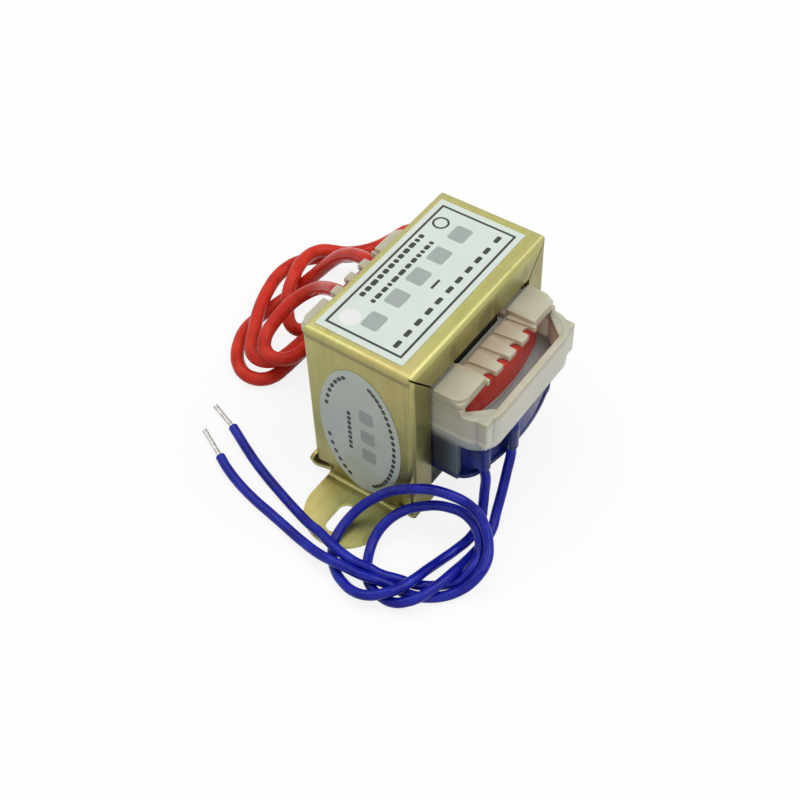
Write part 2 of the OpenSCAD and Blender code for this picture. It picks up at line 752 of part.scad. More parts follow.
module swept_tube(route, d, sides = 8) {
    n = normals(route, unit([0.9, 0.3, 0.1]));
    last = (len(route) - 1) * sides;
    polyhedron(
        points = [
            for (i = [0:len(route) - 1], k = [0:sides - 1])
            let (b = cross(tangent(route, i), n[i]), a = k * 360 / sides)
            route[i] + d / 2 * (cos(a) * n[i] + sin(a) * b)
        ],
        faces = concat(
            [[for (k = [0:sides - 1]) k]],
            [[for (k = [sides - 1:-1:0]) last + k]],
            [for (i = [0:len(route) - 2], k = [0:sides - 1])
                let (near = i * sides, far = near + sides, next = (k + 1) % sides)
                [near + k, far + k, far + next, near + next]]
        )
    );
}

// The bare strands go on straight from the end of the insulation, down towards the surface
module tinned_end(route) {
    last = route[len(route) - 1];
    along = tangent(route, len(route) - 1);
    tip = last + tinned_l * along;
    swept_tube([last, last + 1.5 * along, [tip[0], tip[1], tinned_d / 2]], tinned_d);
}

// The hank: both thick leads in one closed outline with round ends and an open middle
module hank_outline(left, left_r, right, right_r) {
    hull() {
        translate(left) circle(left_r);
        translate(right) circle(right_r);
    }
}

module red_lead_hank() {
    color("red") translate([0, 0, hank_lift]) linear_extrude(hank_h) difference() {
        hank_outline(hank_left, hank_left_r, hank_right, hank_right_r);
        hank_outline([1.5, hank_left[1]], hank_left_r - hank_band, hank_right,
            hank_right_r - hank_band);
    }
}

// A flat tie round the run of the hank that lies nearer the core
module hank_tie() {
    inner_y = hank_right[1] - hank_right_r - 0.1;
    band = hank_band + 0.3;
    color("white") difference() {
        translate([tie_x, inner_y - tie_t, 0]) cube([tie_w, band + 2 * tie_t, hank_h + 2 * tie_t]);
        translate([tie_x - 1, inner_y, tie_t]) cube([tie_w + 2, band, hank_h]);
    }
}

module blue_lead_a() {
    color("mediumblue") swept_tube(blue_route_a, thin_lead_d);
}

module blue_lead_b() {
    color("mediumblue") swept_tube(blue_route_b, thin_lead_d);
}

module blue_lead_a_tinned_end() {
    color("silver") tinned_end(blue_route_a);
}

module blue_lead_b_tinned_end() {
    color("silver") tinned_end(blue_route_b);
}

module red_lead_a() {
    color("red") swept_tube(red_route_a, thick_lead_d);
}

module red_lead_b() {
    color("red") swept_tube(red_route_b, thick_lead_d);
}

mounting_bracket();
e_laminations();
i_laminations();
shroud_spool();
primary_spool();
primary_winding();
primary_tape();
secondary_winding();
secondary_tape();
primary_joint_sleeves();
secondary_joint_sleeves();
secondary_joint_cover();
rating_label();
side_sticker();
blue_lead_a();
blue_lead_b();
blue_lead_a_tinned_end();
blue_lead_b_tinned_end();
red_lead_a();
red_lead_b();
red_lead_hank();
hank_tie();
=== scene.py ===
"""Looks of the laminated chassis transformer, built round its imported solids."""

import math
import random

import bmesh
import bpy
from mathutils import Matrix, Vector


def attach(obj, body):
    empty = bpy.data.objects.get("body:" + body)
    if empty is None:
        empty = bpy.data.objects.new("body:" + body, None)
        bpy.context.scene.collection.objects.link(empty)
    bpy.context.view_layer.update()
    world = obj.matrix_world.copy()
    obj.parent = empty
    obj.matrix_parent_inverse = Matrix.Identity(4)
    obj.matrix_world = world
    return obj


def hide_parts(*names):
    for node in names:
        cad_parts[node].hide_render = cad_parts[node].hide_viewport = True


MM = 0.001

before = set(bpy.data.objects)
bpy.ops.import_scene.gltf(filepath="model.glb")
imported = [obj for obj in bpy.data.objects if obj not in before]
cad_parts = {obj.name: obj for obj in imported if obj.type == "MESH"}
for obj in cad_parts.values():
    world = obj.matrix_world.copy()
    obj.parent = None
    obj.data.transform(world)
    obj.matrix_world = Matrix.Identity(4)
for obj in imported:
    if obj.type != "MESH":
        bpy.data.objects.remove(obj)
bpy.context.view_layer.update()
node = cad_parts
scene = bpy.context.scene
scene.view_settings.view_transform = "Standard"

# ---------------------------------------------------------------- sizes, in millimetres and degrees

THIN_LEAD = 1.9
THICK_LEAD = 2.8
LABEL_TOP = 38.22
STICKER_X = 21.42
STICKER_MIDDLE = 17.4
SAME_RING = 0.05
TUB_FLOOR = 20.6
TUB_FRONT = -22
CORNER_WEB_PLAN = [
    (9.4, -21.9), (14.6, -21.9), (14.6, -16.6), (13.9, -16.9), (12.9, -18.1), (10.4, -20.9),
]
TIE_WIDTH = 1.6
TIE_THICKNESS = 0.16
TIE_SLACK = 0.01
TIE_ROUND = ((15.32, 28.5, 1.6), (14.43, 25.43, 5.9))
CAMERA_PLACE = (-136.99, -95.52, 196.48)
CAMERA_TURN = (-53.22, 48.68, -2.17)
LENS = 59.603

BLUE_ROUTE_A = [
    (-11.9, -20.4, 9.7), (-12.8, -20.8, 6.6), (-14.1, -21.4, 4.2), (-15.9, -22.1, 2.5),
    (-19, -22.1, 1.1), (-22.7, -21.4, 0.95), (-26.4, -20.5, 1.2), (-30, -20, 2.2),
    (-33.7, -19.5, 3.1), (-36.7, -18.5, 3.3), (-38.8, -16.9, 3.2), (-40.3, -14.8, 2.7),
    (-40.7, -12, 2), (-39.9, -8.9, 1.3), (-38.4, -6.1, 0.95), (-36.4, -4, 0.95),
    (-33.7, -2.3, 0.95), (-31.4, -1.9, 1.5), (-28.6, -2.1, 2.4), (-26, -3.1, 3.8),
    (-24.2, -4.9, 5.6), (-23.2, -7.3, 8), (-22.8, -10, 10.3), (-22.5, -12.5, 11.88),
    (-21.7, -14.5, 12.4), (-20.8, -16.4, 12.2), (-19.9, -18.3, 11.5), (-19.1, -20.4, 10.5),
    (-18.6, -22, 9.2), (-18.7, -23.7, 8.1), (-19.3, -25, 7), (-20.2, -26.2, 6.1),
    (-21.5, -27.3, 5.3), (-22.8, -28.1, 4.7), (-24.5, -28.6, 4.2), (-26.5, -28.6, 3.6),
    (-28.4, -28, 2.6), (-30.2, -26.7, 1.4), (-32.1, -25.1, 0.95), (-33.9, -23, 0.95),
    (-35.1, -20.6, 0.95), (-35.6, -18.1, 1.05), (-36.1, -15.7, 1.8), (-37.1, -13.6, 2.8),
    (-37.8, -11.2, 3.1), (-38, -8.5, 3.1), (-38.2, -5.7, 3), (-38, -2.5, 2.3), (-37, 2.7, 1.4),
    (-35.8, 8, 0.95), (-35.1, 11.7, 0.95), (-34.3, 15.9, 0.95), (-33, 20.7, 0.95),
    (-31.4, 24.9, 0.95), (-30.1, 27.5, 0.95),
]
BLUE_ROUTE_B = [
    (-5.2, -21.5, 10.1), (-6.9, -21.9, 7.7), (-9.8, -22.7, 4.8), (-13, -23.6, 2.8),
    (-15.9, -24.5, 1.5), (-18.6, -24.6, 0.95), (-21.3, -24.5, 0.95), (-24.4, -24.4, 1.5),
    (-28.3, -24.3, 2.8), (-31.4, -23.9, 3.15), (-33.8, -23.2, 3.05), (-36, -22.2, 2.8),
    (-37.5, -20.7, 2.2), (-38.4, -18.8, 1.5), (-38.4, -16.1, 0.95), (-37.8, -13.6, 0.95),
    (-36.2, -11.4, 0.95), (-34.1, -10, 0.95), (-31.6, -8.8, 1.2), (-29, -8.2, 2),
    (-26.7, -8.5, 3.1), (-24.6, -9.4, 4.1), (-22.9, -10.9, 5.1), (-22.2, -12, 5.7),
    (-21.2, -13.5, 6.2), (-20, -15.3, 6.4), (-19.1, -17.3, 6.3), (-18.5, -19.5, 6),
    (-18.6, -21.7, 5.4), (-19.3, -23.4, 4.8), (-20.5, -24.8, 4.2), (-21.8, -25.7, 3.6),
    (-23.3, -26.3, 3.2), (-25, -26.6, 2.9), (-26.8, -26.3, 2.1), (-28.6, -25.4, 1.2),
    (-30.1, -23.8, 0.95), (-31.5, -22.3, 0.95), (-32.5, -20.6, 0.95), (-33.2, -18.9, 0.95),
    (-33.9, -16.8, 1.35), (-35.3, -13.7, 2.2), (-35.8, -11.3, 3), (-36.1, -9.5, 2.95),
    (-36, -7, 2.9), (-35.5, -3.6, 2.9), (-34.2, 0.4, 2.3), (-33.4, 3.4, 1.5), (-32.1, 7.4, 0.95),
    (-30.4, 12.8, 0.95), (-28.1, 19.3, 0.95), (-25.9, 24.4, 0.95), (-24.2, 27.9, 0.95),
    (-23.1, 30.2, 0.95),
]


def at(*point):
    return Vector(point) * MM


# ---------------------------------------------------------------- camera

def add_camera():
    azimuth, elevation, roll = (math.radians(a) for a in CAMERA_TURN)
    back = Vector((
        math.sin(azimuth) * math.cos(elevation),
        -math.cos(azimuth) * math.cos(elevation),
        math.sin(elevation),
    ))
    right = Vector((math.cos(azimuth), math.sin(azimuth), 0))
    up = back.cross(right)
    side = right * math.cos(roll) + up * math.sin(roll)
    top = up * math.cos(roll) - right * math.sin(roll)
    data = bpy.data.cameras.new("camera")
    data.sensor_width = 36
    data.lens = LENS
    data.clip_start = 0.01
    data.clip_end = 20
    camera = bpy.data.objects.new("camera", data)
    scene.collection.objects.link(camera)
    turn = Matrix((side, top, back)).transposed().to_4x4()
    camera.matrix_world = Matrix.Translation(at(*CAMERA_PLACE)) @ turn
    scene.camera = camera


add_camera()

# ---------------------------------------------------------------- material helpers


class Finish:
    """A material and the few node steps that this object's finishes are made of."""

    def __init__(self, name, **sockets):
        self.material = bpy.data.materials.new(name)
        self.material.use_nodes = True
        self.tree = self.material.node_tree
        self.shader = self.tree.nodes["Principled BSDF"]
        self.place = self.tree.nodes.new("ShaderNodeTexCoord").outputs["Object"]
        for socket, value in sockets.items():
            self.shader.inputs[socket.replace("_", " ")].default_value = value

    def put(self, value, socket):
        if isinstance(value, bpy.types.NodeSocket):
            self.tree.links.new(value, socket)
        elif value is not None:
            socket.default_value = value

    def step(self, kind, output, inputs, **settings):
        made = self.tree.nodes.new(kind)
        for key, value in settings.items():
            setattr(made, key, value)
        for socket, value in inputs.items():
            self.put(value, made.inputs[socket])
        return made.outputs[output]

    def mapped(self, scale=(1, 1, 1), location=(0, 0, 0), rotation=(0, 0, 0)):
        return self.step("ShaderNodeMapping", "Vector", {
            "Vector": self.place, "Scale": scale, "Location": location, "Rotation": rotation,
        })

    def noise(self, scale, detail=3.0, roughness=0.5, stretch=None, distortion=0.0):
        vector = self.mapped(stretch) if stretch else self.place
        return self.step("ShaderNodeTexNoise", "Fac", {
            "Vector": vector, "Scale": scale, "Detail": detail,
            "Roughness": roughness, "Distortion": distortion,
        })

    def cells(self, scale, stretch=None, feature="F1", output="Distance"):
        vector = self.mapped(stretch) if stretch else self.place
        return self.step(
            "ShaderNodeTexVoronoi", output, {"Vector": vector, "Scale": scale}, feature=feature)

    def axis(self, letter):
        return self.step("ShaderNodeSeparateXYZ", letter, {"Vector": self.place})

    def maths(self, operation, a, b=0.0, clamp=False):
        made = self.tree.nodes.new("ShaderNodeMath")
        made.operation = operation
        made.use_clamp = clamp
        self.put(a, made.inputs[0])
        self.put(b, made.inputs[1])
        return made.outputs[0]

    def between(self, value, low, high, to_low=0.0, to_high=1.0):
        return self.step("ShaderNodeMapRange", "Result", {
            "Value": value, "From Min": low, "From Max": high,
            "To Min": to_low, "To Max": to_high,
        })

    def smooth(self, value, low, high):
        return self.step("ShaderNodeMapRange", "Result", {
            "Value": value, "From Min": low, "From Max": high,
        }, interpolation_type="SMOOTHSTEP")

    def ramp(self, value, *stops):
        made = self.tree.nodes.new("ShaderNodeValToRGB")
        elements = made.color_ramp.elements
        while len(elements) < len(stops):
            elements.new(0.5)
        for element, (place, colour) in zip(elements, stops):
            element.position = place
            element.color = (*colour, 1)
        self.put(value, made.inputs["Fac"])
        return made.outputs["Color"]

    def mix(self, factor, a, b, blend="MIX"):
        made = self.tree.nodes.new("ShaderNodeMix")
        made.data_type = "RGBA"
        made.blend_type = blend
        self.put(factor, made.inputs[0])
        self.put(a if isinstance(a, bpy.types.NodeSocket) else (*a, 1), made.inputs[6])
        self.put(b if isinstance(b, bpy.types.NodeSocket) else (*b, 1), made.inputs[7])
        return made.outputs[2]

    def bump(self, height, strength, distance_mm):
        normal = self.step("ShaderNodeBump", "Normal", {
            "Height": height, "Strength": strength, "Distance": distance_mm * MM,
            "Normal": self.last_normal(),
        })
        self.put(normal, self.shader.inputs["Normal"])

    def last_normal(self):
        links = self.shader.inputs["Normal"].links
        return links[0].from_socket if links else None

    def colour(self, value):
        self.put(value if isinstance(value, bpy.types.NodeSocket) else (*value, 1),
                 self.shader.inputs["Base Color"])

    def roughness(self, value):
        self.put(value, self.shader.inputs["Roughness"])


def dress(piece, finish):
    piece.data.materials.clear()
    piece.data.materials.append(finish.material)


# ---------------------------------------------------------------- finishes

def steel_finish():
    """Thin yellow passivation on zinc: olive gold, with drawn lines and blotches, and painted shade
    and reflection on its upright faces.
    """
    f = Finish("yellow_zinc_steel", Metallic=0.88)
    f.put(0.32, f.shader.inputs["Roughness"])
    blotch = f.noise(95, 4, 0.6, distortion=0.6)
    base = f.ramp(blotch, (0.25, (0.36, 0.33, 0.105)), (0.45, (0.44, 0.41, 0.135)),
                  (0.6, (0.40, 0.39, 0.135)), (0.8, (0.49, 0.46, 0.17)))
    tint = f.smooth(f.noise(38, 2, 0.5), 0.5, 0.72)
    base = f.mix(f.maths("MULTIPLY", tint, 0.55), base, (0.50, 0.36, 0.13))
    lines = f.noise(900, 2, 0.5, stretch=(0.05, 1, 0.05))
    base = f.mix(f.between(lines, 0.35, 0.65, 0, 0.16), base, (0.62, 0.59, 0.36))
    spots = f.smooth(f.noise(650, 3, 0.6), 0.62, 0.78)
    base = f.mix(f.maths("MULTIPLY", spots, 0.35), base, (0.22, 0.19, 0.07))
    # painted shade and reflection: the upright faces are painted darker low down, under the fold and
    # down the front flanges
    across, depth, height = f.axis("X"), f.axis("Y"), f.axis("Z")
    flank = f.maths("MULTIPLY", f.smooth(across, -20.9 * MM, -21.2 * MM),
                    f.smooth(across, -23.4 * MM, -22.6 * MM))
    low = f.smooth(height, 12 * MM, 3 * MM)
    base = f.mix(f.maths("MULTIPLY", flank, f.maths("MULTIPLY", low, 0.36)), base,
                 (0.16, 0.135, 0.05))
    # painted reflection: a dark band painted on the side face just under the fold, for the bend's
    # reflection
    under_fold = f.maths("MULTIPLY", f.smooth(height, 35.7 * MM, 36.3 * MM),
                         f.smooth(height, 37.2 * MM, 36.7 * MM))
    base = f.mix(f.maths("MULTIPLY", flank, f.maths("MULTIPLY", under_fold, 0.6)), base,
                 (0.13, 0.11, 0.04))
    # painted reflection: dark upright streaks painted on the front part of the bracket below the
    # fold
    painted_reflection_streaks = f.smooth(f.noise(330, 3, 0.6, stretch=(1, 1, 0.06), distortion=0.3), 0.5, 0.62)
    edge = f.maths("MULTIPLY", f.smooth(depth, -4 * MM, -9 * MM),
                   f.smooth(height, 36.6 * MM, 35.4 * MM))
    base = f.mix(f.maths("MULTIPLY", painted_reflection_streaks, f.maths("MULTIPLY", edge, 0.5)), base,
                 (0.13, 0.105, 0.04))
    # painted shade: the whole side face is painted darker than the top
    base = f.mix(f.maths("MULTIPLY", flank, 0.22), base, (0.22, 0.20, 0.09))
    # painted shade: the front faces of the bracket are painted darker, most towards the bottom
    front = f.maths("MULTIPLY", f.smooth(depth, -11.0 * MM, -11.35 * MM),
                    f.smooth(height, 37 * MM, 34 * MM))
    base = f.mix(f.maths("MULTIPLY", front, f.between(height, 9 * MM, 20 * MM, 0.85, 0.45)), base,
                 (0.17, 0.15, 0.06))
    # painted shadow: the bent-under claws at the front are painted near black
    claw = f.maths("MULTIPLY", f.smooth(depth, -11.2 * MM, -12 * MM),
                   f.smooth(height, 3 * MM, 1.8 * MM))
    base = f.mix(f.maths("MULTIPLY", claw, 0.8), base, (0.05, 0.045, 0.025))
    f.colour(base)
    f.roughness(f.between(f.noise(260, 4, 0.6), 0.3, 0.7, 0.30, 0.48))
    f.bump(lines, 0.12, 0.05)
    f.bump(f.noise(70, 3, 0.5), 0.12, 0.25)
    f.bump(f.noise(420, 4, 0.6), 0.10, 0.05)
    return f


def lamination_finish():
    """Silicon steel edges under brown-black varnish."""
    f = Finish("varnished_core_steel", Specular_IOR_Level=0.12)
    sheets = f.noise(500, 2, 0.5, stretch=(0.08, 4.0, 0.08))
    f.colour(f.ramp(sheets, (0.3, (0.003, 0.003, 0.003)), (0.5, (0.009, 0.008, 0.007)),
                    (0.72, (0.026, 0.023, 0.018))))
    f.roughness(f.between(f.noise(300, 3, 0.5), 0.3, 0.7, 0.35, 0.6))
    f.bump(f.noise(900, 3, 0.6), 0.25, 0.05)
    return f


def nylon_finish():
    """Natural nylon: milky, faintly warm, with the coloured tape glowing through thin walls, and
    painted light and shade on its walls, cheeks and tub.
    """
    f = Finish("natural_nylon", Subsurface_Weight=0.6, Subsurface_Radius=(0.9, 0.75, 0.55),
               Subsurface_Scale=0.003, IOR=1.53)
    milk = f.noise(140, 3, 0.5)
    base = f.ramp(milk, (0.3, (0.50, 0.47, 0.35)), (0.55, (0.54, 0.515, 0.395)),
                  (0.8, (0.58, 0.56, 0.45)))
    height = f.axis("Z")
    depth = f.maths("ABSOLUTE", f.axis("Y"))
    across = f.maths("ABSOLUTE", f.axis("X"))
    # painted light: the thin outer walls are painted paler than the blocks, for the light that comes
    # through them
    base = f.mix(f.smooth(height, 27 * MM, 25 * MM), base, (0.74, 0.735, 0.63))
    # the side cheeks lie against the blue tape, which shows through them, clearest at their front
    # edge; towards the bracket they are painted near black as painted shade
    cheek = f.maths("MULTIPLY", f.smooth(height, 22.3 * MM, 18.3 * MM),
                    f.smooth(across, 13.8 * MM, 14.2 * MM))
    shade = f.mix(f.smooth(depth, 13 * MM, 17 * MM), (0.006, 0.012, 0.035), (0.10, 0.15, 0.19))
    base = f.mix(f.maths("MULTIPLY", cheek, 0.97), base, shade)
    # painted shade: the flanks of the shroud are painted darker than its front
    flank = f.maths("MULTIPLY", f.smooth(across, 13.8 * MM, 14.2 * MM), f.maths(
        "MULTIPLY", f.smooth(height, 26.5 * MM, 25.5 * MM), f.smooth(height, 21.8 * MM, 22.6 * MM)))
    base = f.mix(f.maths("MULTIPLY", flank, 0.45), base, (0.40, 0.36, 0.30))
    # painted light: the inner faces of the tub are painted pale, for the light that comes through
    # its walls
    within = f.maths("MULTIPLY", f.maths("MULTIPLY", f.smooth(depth, 21.5 * MM, 21.3 * MM),
                                         f.smooth(depth, 12 * MM, 13 * MM)),
                     f.maths("MULTIPLY", f.smooth(height, 25.7 * MM, 25.3 * MM),
                             f.smooth(height, 20.6 * MM, 20.9 * MM)))
    within = f.maths("MULTIPLY", within, f.smooth(across, 14.6 * MM, 14.4 * MM))
    base = f.mix(within, base, (0.90, 0.90, 0.80))
    # the bottom flange, and the floor of the tub over the blue tape, painted grey-blue partly from
    # that tape and partly as painted shade
    base = f.mix(f.smooth(height, 11.6 * MM, 10.9 * MM), base, (0.003, 0.012, 0.13))
    inside = f.maths("MULTIPLY", f.smooth(depth, 21.3 * MM, 21.1 * MM),
                     f.smooth(depth, 11 * MM, 12 * MM))
    floor = f.maths("MULTIPLY", inside, f.maths(
        "MULTIPLY", f.smooth(height, 21.8 * MM, 20.9 * MM), f.smooth(height, 20.2 * MM, 20.6 * MM)))
    base = f.mix(f.maths("MULTIPLY", floor, 0.92), base, (0.42, 0.47, 0.46))
    # the red tape shines through the roots of the comb
    root = f.maths("MULTIPLY", f.smooth(height, 28.4 * MM, 28.9 * MM), f.maths(
        "MULTIPLY", f.smooth(across, 9.4 * MM, 7.4 * MM), f.smooth(depth, 17.6 * MM, 14.6 * MM)))
    base = f.mix(f.maths("MULTIPLY", root, 0.34), base, (0.50, 0.27, 0.15))
    f.colour(base)
    f.roughness(f.between(milk, 0.3, 0.7, 0.36, 0.5))
    f.bump(f.noise(900, 2, 0.5), 0.08, 0.03)
    f.bump(f.noise(120, 2, 0.5), 0.15, 0.12)
    return f


def copper_finish():
    f = Finish("enamelled_copper", Metallic=0.9)
    turns = f.noise(2600, 1, 0.5, stretch=(0.02, 0.02, 1))
    f.colour(f.ramp(turns, (0.3, (0.32, 0.09, 0.03)), (0.7, (0.62, 0.24, 0.09))))
    f.roughness(f.between(turns, 0.3, 0.7, 0.25, 0.4))
    f.bump(turns, 0.5, 0.1)
    return f


def tape_finish(name, dark, middle, light, wrinkle):
    """Polyester tape: smooth and glossy, with its winding edges and a few wrinkles."""
    f = Finish(name, Specular_IOR_Level=0.3)
    cloud = f.noise(170, 3, 0.55, distortion=0.4)
    edges = f.noise(1300, 1, 0.5, stretch=(0.04, 0.04, 1))
    base = f.ramp(cloud, (0.3, dark), (0.5, middle), (0.75, light))
    base = f.mix(f.between(edges, 0.4, 0.7, 0, 0.25), base, light)
    f.colour(base)
    f.roughness(f.between(cloud, 0.3, 0.7, 0.22, 0.4))
    f.bump(f.noise(260, 3, 0.55, stretch=(1, 1, 2.2), distortion=0.8), wrinkle, 0.35)
    f.bump(edges, 0.12, 0.06)
    return f


def film_finish(name, base, shade, coat):
    f = Finish(name, Coat_Weight=coat, Coat_Roughness=0.2)
    f.colour(f.ramp(f.noise(180, 4, 0.6), (0.35, shade), (0.65, base)))
    f.roughness(f.between(f.noise(500, 3, 0.5), 0.3, 0.7, 0.35, 0.5))
    f.bump(f.noise(700, 3, 0.5), 0.06, 0.03)
    f.bump(f.noise(60, 2, 0.5), 0.12, 0.2)
    return f


def ink_finish(name, dark, light):
    f = Finish(name)
    f.colour(f.ramp(f.noise(1500, 3, 0.6), (0.3, dark), (0.8, light)))
    f.roughness(f.between(f.noise(900, 2, 0.5), 0.3, 0.7, 0.35, 0.5))
    f.bump(f.noise(1500, 2, 0.5), 0.05, 0.02)
    return f


def insulation_finish(name, dark, middle, light, shine):
    """Soft PVC: glossy, very slightly uneven from the extruder, with rubbed places."""
    f = Finish(name, Specular_IOR_Level=shine)
    cloud = f.noise(240, 3, 0.5, distortion=0.3)
    base = f.ramp(cloud, (0.3, dark), (0.52, middle), (0.8, light))
    f.colour(base)
    f.roughness(f.between(f.noise(420, 3, 0.5), 0.3, 0.7, 0.07, 0.18))
    f.bump(f.noise(650, 3, 0.55), 0.05, 0.04)
    f.bump(f.noise(2400, 2, 0.5), 0.02, 0.02)
    return f


def tinned_finish():
    f = Finish("tinned_copper", Metallic=0.95)
    f.colour(f.ramp(f.noise(1500, 3, 0.6), (0.3, (0.42, 0.41, 0.38)), (0.7, (0.74, 0.73, 0.70))))
    f.roughness(f.between(f.noise(2000, 3, 0.5), 0.3, 0.7, 0.22, 0.42))
    f.bump(f.noise(3500, 2, 0.5), 0.3, 0.03)
    return f


def paper_finish(name, light, dark):
    f = Finish(name)
    f.colour(f.ramp(f.noise(900, 4, 0.6), (0.3, dark), (0.7, light)))
    f.roughness(f.between(f.noise(600, 3, 0.5), 0.3, 0.7, 0.55, 0.75))
    f.bump(f.noise(1800, 3, 0.6), 0.2, 0.04)
    return f


steel = steel_finish()
core_steel = lamination_finish()
nylon = nylon_finish()
copper = copper_finish()
red_tape = tape_finish("red_polyester_tape", (0.50, 0.030, 0.022), (0.60, 0.045, 0.032),
                       (0.68, 0.07, 0.05), 0.6)
blue_tape = tape_finish("blue_polyester_tape", (0.001, 0.006, 0.075), (0.002, 0.010, 0.14),
                        (0.01, 0.04, 0.34), 0.7)
label_film = film_finish("label_film", (0.69, 0.765, 0.695), (0.66, 0.735, 0.665), 0.1)
sticker_film = film_finish("sticker_film", (0.57, 0.635, 0.56), (0.53, 0.59, 0.525), 0.15)
ink = ink_finish("printing_ink", (0.006, 0.012, 0.010), (0.03, 0.04, 0.035))
faded_ink = ink_finish("faded_printing_ink", (0.33, 0.37, 0.345), (0.40, 0.44, 0.415))
blue_insulation = insulation_finish("blue_insulation", (0.004, 0.008, 0.24),
                                    (0.009, 0.015, 0.35), (0.022, 0.040, 0.48), 0.18)
red_insulation = insulation_finish("red_insulation", (0.52, 0.024, 0.014),
                                   (0.66, 0.040, 0.022), (0.74, 0.062, 0.036), 0.09)
tinned = tinned_finish()
sleeve_fibre = paper_finish("sleeve_fibre", (0.72, 0.68, 0.56), (0.60, 0.56, 0.45))
tie_paper = paper_finish("tie_paper", (0.78, 0.77, 0.72), (0.60, 0.59, 0.54))

# ---------------------------------------------------------------- cords


def bezier_lead(name, route, diameter_mm, finish):
    """One smooth open spline through the route, as thick as the insulation."""
    data = bpy.data.curves.new(name, "CURVE")
    data.dimensions = "3D"
    data.resolution_u = 8
    data.bevel_depth = diameter_mm / 2 * MM
    data.bevel_resolution = 6
    data.use_fill_caps = True
    spline = data.splines.new("BEZIER")
    spline.bezier_points.add(len(route) - 1)
    for knot, point in zip(spline.bezier_points, route):
        knot.co = Vector(point) * MM
        knot.handle_left_type = knot.handle_right_type = "AUTO"
    piece = bpy.data.objects.new(name, data)
    scene.collection.objects.link(piece)
    bpy.context.view_layer.update()
    data.materials.append(finish.material)
    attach(piece, "root")
    return piece


def strands(name, start, tip, twist_turns, seed):
    """Tinned strands twisted into a rope, a little frayed at the tip."""
    rng = random.Random(seed)
    along = (tip - start).normalized()
    across = along.orthogonal().normalized()
    other = along.cross(across)
    length = (tip - start).length
    count, radius, fine = 9, 0.36 * MM, 0.15 * MM
    data = bpy.data.curves.new(name, "CURVE")
    data.dimensions = "3D"
    data.bevel_depth = fine
    data.bevel_resolution = 2
    data.use_fill_caps = True
    for i in range(count + 1):
        inner = i == count
        reach = length * (1 - rng.uniform(0, 0.06))
        spline = data.splines.new("POLY")
        steps = 36
        spline.points.add(steps)
        for k in range(steps + 1):
            s = k / steps
            turn = 2 * math.pi * (i / count + twist_turns * s)
            open_up = 1 + 0.25 * max(0, s - 0.85) / 0.15 * rng.uniform(0.4, 1)
            r = 0 if inner else radius * open_up * (0.94 + 0.06 * math.sin(9 * s + i))
            point = (start - along * 0.6 * MM + along * (reach + 0.6 * MM) * s
                     + (across * math.cos(turn) + other * math.sin(turn)) * r)
            point.z = max(point.z, 0.17 * MM)
            spline.points[k].co = (*point, 1)
            spline.points[k].radius = 2.2 if inner else 1
    piece = bpy.data.objects.new(name, data)
    scene.collection.objects.link(piece)
    select_only(piece)
    bpy.ops.object.convert(target="MESH")
    bpy.ops.object.shade_smooth()
    dress(piece, tinned)
    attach(piece, "root")
    return piece


def select_only(*objects):
    bpy.ops.object.select_all(action="DESELECT")
    for one in objects:
        one.select_set(True)
    bpy.context.view_layer.objects.active = objects[0]


RED_ROUTE_A = [
    (9.8, 20.6, 24.3), (11, 23.6, 22.9), (12.2, 27, 20.8), (13, 30.4, 17.8), (13.4, 33.5, 14.2),
    (13.4, 36.5, 10.3), (12.6, 39.1, 7), (11.2, 41, 4.8), (9.3, 42.2, 3.4), (7, 43.3, 2.5),
    (4.4, 44.3, 1.8), (1.4, 44.9, 1.4), (-1.8, 44.7, 1.4), (-5.1, 43.5, 1.4), (-8, 41.7, 1.4),
    (-10.1, 39.5, 1.4), (-11.2, 37.2, 1.4), (-11.2, 34.8, 1.4), (-10.1, 32.8, 1.4),
    (-8.2, 31.7, 1.4), (-6, 31.4, 1.4), (-3, 31.3, 1.4), (0.5, 31.2, 1.4), (6, 30.9, 1.5),
    (12.5, 29.4, 1.6), (18, 27.6, 1.6), (24, 25.9, 1.5), (29.5, 24.6, 1.5), (33.2, 24.1, 1.7),
    (36.2, 24.6, 2.1), (38.5, 26.1, 2.5), (39.4, 28.4, 3), (38.8, 30.6, 3.5), (36.9, 32, 3.9),
    (34.6, 32.7, 4.1), (32.2, 33.3, 4.2), (29.6, 34.7, 4.2), (27.3, 36.6, 4.2), (25.3, 38.9, 4.2),
    (23.6, 41.1, 4.2), (21.9, 43, 4.4), (20, 44.7, 4.6), (17.7, 45.9, 4.8), (15, 46.5, 5),
    (11.7, 46.6, 5), (8, 45.8, 5), (4.2, 44.5, 5), (0.4, 42.8, 4.8), (-3, 40.9, 4.5),
    (-5.8, 39.3, 4.3), (-7.7, 37.7, 4.2), (-8.5, 35.6, 4.2), (-8, 33.6, 4.2), (-6.5, 32.1, 4.2),
    (-4.4, 31.5, 4.2), (-1.2, 31.2, 4.2), (3, 30.9, 4.2),
]
